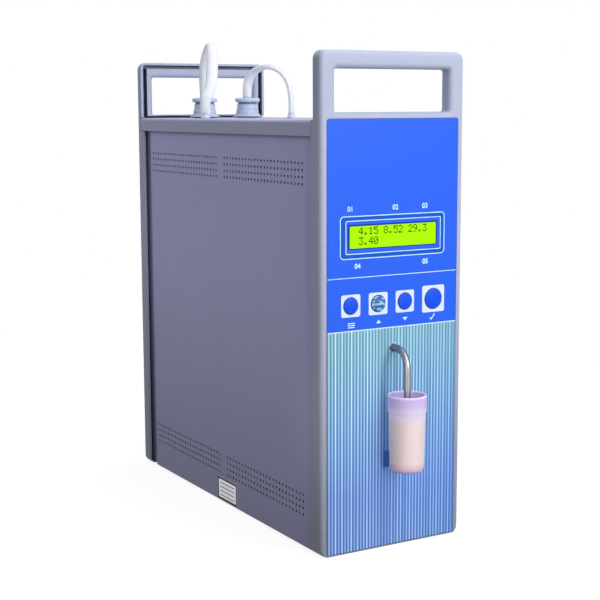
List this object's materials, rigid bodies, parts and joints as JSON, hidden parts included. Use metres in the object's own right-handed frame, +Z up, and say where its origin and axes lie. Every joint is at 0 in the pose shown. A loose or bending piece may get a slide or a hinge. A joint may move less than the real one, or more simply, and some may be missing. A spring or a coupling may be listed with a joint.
{
  "type": "milk analyzer",
  "caption": "Slim desk-top milk analyzer with handled end panels, display, round keys, an intake tube in a sample cup, and stoppered rinse bottles with hoses on top.",
  "frame": {"origin": "under the middle of the box round the whole instrument, on the table", "axes": "+X to the right as seen from the front, +Y from the front panel to the rear, +Z up"},
  "size_m": [0.1, 0.287, 0.3063],
  "materials": {
    "panel_plastic": "fine matt texture",
    "cover_paint": "semi-gloss powder coat",
    "side_paint": "matt powder coat",
    "foil_print": "satin printed foil",
    "button_blue": "satin",
    "clear_plastic": "clear",
    "display_green": "lit",
    "board_green": "lacquered board",
    "steel": "bright drawn",
    "cup_plastic": "translucent",
    "stopper_rubber": "matt",
    "silicone": "translucent silicone",
    "dark_plastic": "moulded",
    "bottle_plastic": "translucent",
    "cell_metal": "milled"
  },
  "bodies": {
    "instrument": {"front_panel": "panel_plastic", "rear_panel": "panel_plastic", "hose_port_left": "panel_plastic", "hose_port_right": "panel_plastic", "top_cover": "cover_paint", "base_tray": "cover_paint", "left_side_panel": "side_paint", "right_side_panel": "side_paint", "graphic_overlay": "foil_print", "display_lens": "clear_plastic", "display_glass": "display_green", "keypad_board": "board_green", "main_board": "board_green", "display_module": "steel", "intake_tube": "steel", "pump_motor": "steel", "serial_connector": "steel", "rear_screw_1": "steel", "rear_screw_2": "steel", "rear_screw_3": "steel", "rear_screw_4": "steel", "stopper_left": "stopper_rubber", "stopper_right": "stopper_rubber", "hose_left": "silicone", "hose_right": "silicone", "pump_hose": "silicone", "rinse_hose": "silicone", "intake_sleeve": "silicone", "intake_bush": "dark_plastic", "cup_holder": "dark_plastic", "pump_housing": "dark_plastic", "power_inlet": "dark_plastic", "switch_frame": "dark_plastic", "reservoir_left": "bottle_plastic", "reservoir_right": "bottle_plastic", "mounting_plate": "cell_metal", "measuring_cell": "cell_metal", "reservoir_stand": "cell_metal", "power_supply": "cell_metal"},
    "button_1": {"button_1": "button_blue"},
    "button_2": {"button_2": "button_blue"},
    "button_3": {"button_3": "button_blue"},
    "button_4": {"button_4": "button_blue"},
    "cup": {"sample_cup": "cup_plastic"},
    "power_rocker": {"switch_rocker": "dark_plastic"},
    "rotor": {"pump_rotor": "bottle_plastic", "motor_shaft": "steel"},
    "roller_1": {"pump_roller_1": "steel"},
    "roller_2": {"pump_roller_2": "steel"},
    "roller_3": {"pump_roller_3": "steel"}
  },
  "joints": [
    {"name": "button_1_press", "type": "slide", "parent": "instrument", "child": "button_1", "axis": [0, 1, 0], "range_m": [0, 0.0006], "stiffness_N_per_m": 800},
    {"name": "button_2_press", "type": "slide", "parent": "instrument", "child": "button_2", "axis": [0, 1, 0], "range_m": [0, 0.0006], "stiffness_N_per_m": 800},
    {"name": "button_3_press", "type": "slide", "parent": "instrument", "child": "button_3", "axis": [0, 1, 0], "range_m": [0, 0.0006], "stiffness_N_per_m": 800},
    {"name": "button_4_press", "type": "slide", "parent": "instrument", "child": "button_4", "axis": [0, 1, 0], "range_m": [0, 0.0006], "stiffness_N_per_m": 800},
    {"name": "cup_slide", "type": "slide", "parent": "instrument", "child": "cup", "axis": [0, 0, -1], "range_m": [0, 0.045]},
    {"name": "power_rocker_tilt", "type": "hinge", "parent": "instrument", "child": "power_rocker", "pos_m": [-0.02, 0.13445, 0.036], "axis": [-1, 0, 0], "range_deg": [0, 16]},
    {"name": "rotor_spin", "type": "hinge", "parent": "instrument", "child": "rotor", "pos_m": [-0.0028, -0.01455, 0.06], "axis": [1, 0, 0], "continuous": true},
    {"name": "roller_1_spin", "type": "hinge", "parent": "rotor", "child": "roller_1", "pos_m": [-0.0028, -0.00355, 0.06], "axis": [1, 0, 0], "continuous": true},
    {"name": "roller_2_spin", "type": "hinge", "parent": "rotor", "child": "roller_2", "pos_m": [-0.0028, -0.02005, 0.06953], "axis": [1, 0, 0], "continuous": true},
    {"name": "roller_3_spin", "type": "hinge", "parent": "rotor", "child": "roller_3", "pos_m": [-0.0028, -0.02005, 0.05047], "axis": [1, 0, 0], "continuous": true}
  ],
  "couplings": [
    {"joint": "roller_1_spin", "follows": "rotor_spin", "ratio": -3.4444},
    {"joint": "roller_2_spin", "follows": "rotor_spin", "ratio": -3.4444},
    {"joint": "roller_3_spin", "follows": "rotor_spin", "ratio": -3.4444}
  ]
}
